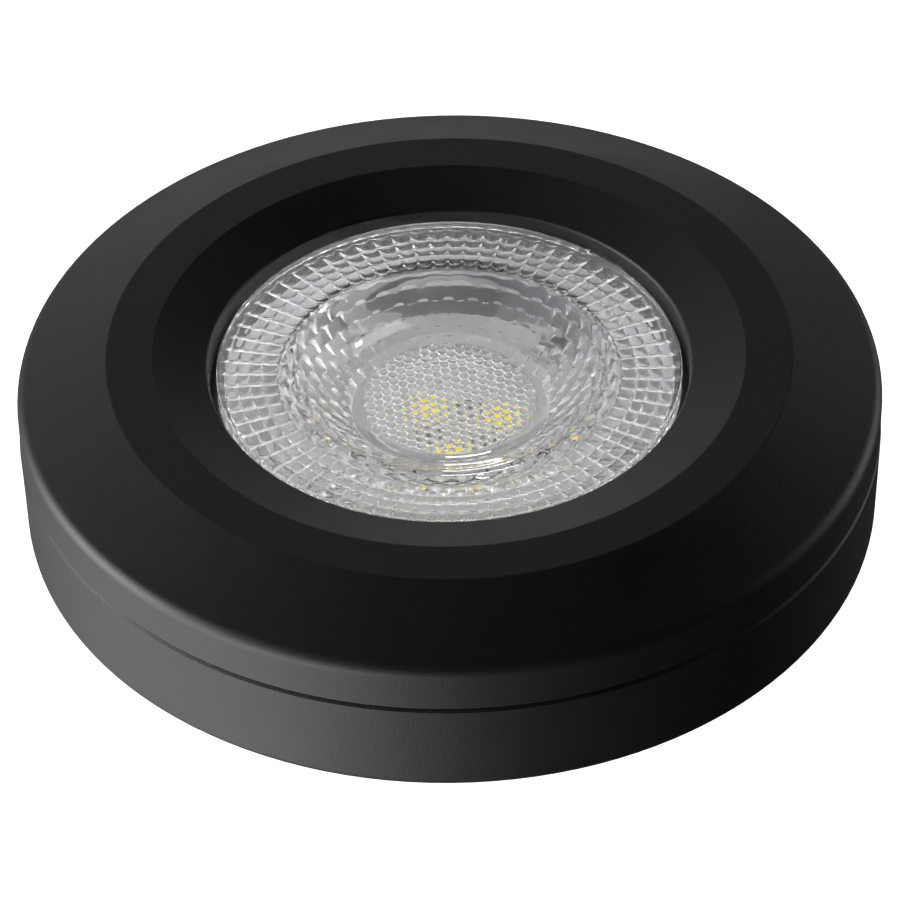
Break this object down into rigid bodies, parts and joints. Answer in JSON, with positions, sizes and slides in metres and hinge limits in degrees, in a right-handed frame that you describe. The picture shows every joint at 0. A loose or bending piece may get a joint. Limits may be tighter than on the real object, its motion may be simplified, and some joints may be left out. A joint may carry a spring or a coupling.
{
  "type": "led disc lamp",
  "caption": "Flat round black lamp with a sloped front ring, a clear dished lens over a yellow light source, and a twist-in cap with two mushroom contacts.",
  "frame": {"origin": "middle of the cap boss's flat end face, which the lamp rests on", "axes": "+Z along the lamp's axis, out through the lens, the way the light goes; +X through the right-hand contact"},
  "size_m": [0.075, 0.075, 0.0272],
  "materials": {
    "black_shell": "matte black moulded plastic with a very fine grain",
    "clear_lens": "clear polished moulded acrylic",
    "white_board": "white solder mask on an aluminium core board",
    "led_white": "white moulded LED body",
    "phosphor": "yellow phosphor in clear silicone",
    "grey_pad": "soft grey thermal pad",
    "zinc_steel": "bright zinc plated steel",
    "bright_aluminium": "bright pressed aluminium sheet",
    "nickel": "satin nickel plated brass",
    "green_board": "green solder mask on a fibreglass board",
    "sleeve": "dark shrink sleeve on aluminium cans",
    "film_case": "dipped orange-brown coating",
    "ferrite": "dark grey ferrite",
    "winding": "enamelled copper wire under clear tape",
    "chip_black": "black moulded epoxy",
    "resistor_coat": "green flameproof coating",
    "wire_white": "white silicone insulation"
  },
  "bodies": {
    "root": {"front_bezel": "black_shell", "lens": "clear_lens", "led_board": "white_board", "led_bodies": "led_white", "led_diodes": "chip_black", "led_phosphor": "phosphor", "thermal_pad": "grey_pad", "led_board_screws": "zinc_steel", "heat_spreader": "bright_aluminium", "spreader_screws": "zinc_steel", "rear_housing": "black_shell", "contact_pin_left": "nickel", "contact_pin_right": "nickel", "driver_board": "green_board", "bulk_capacitor": "sleeve", "output_capacitor": "sleeve", "film_capacitor": "film_case", "transformer_core": "ferrite", "transformer_winding": "winding", "bridge_rectifier": "chip_black", "driver_chip": "chip_black", "freewheel_diode": "chip_black", "fusible_resistor": "resistor_coat", "chip_resistors": "chip_black", "led_lead_positive": "wire_white", "led_lead_negative": "wire_white", "mains_lead_left": "wire_white", "mains_lead_right": "wire_white"}
  },
  "joints": []
}
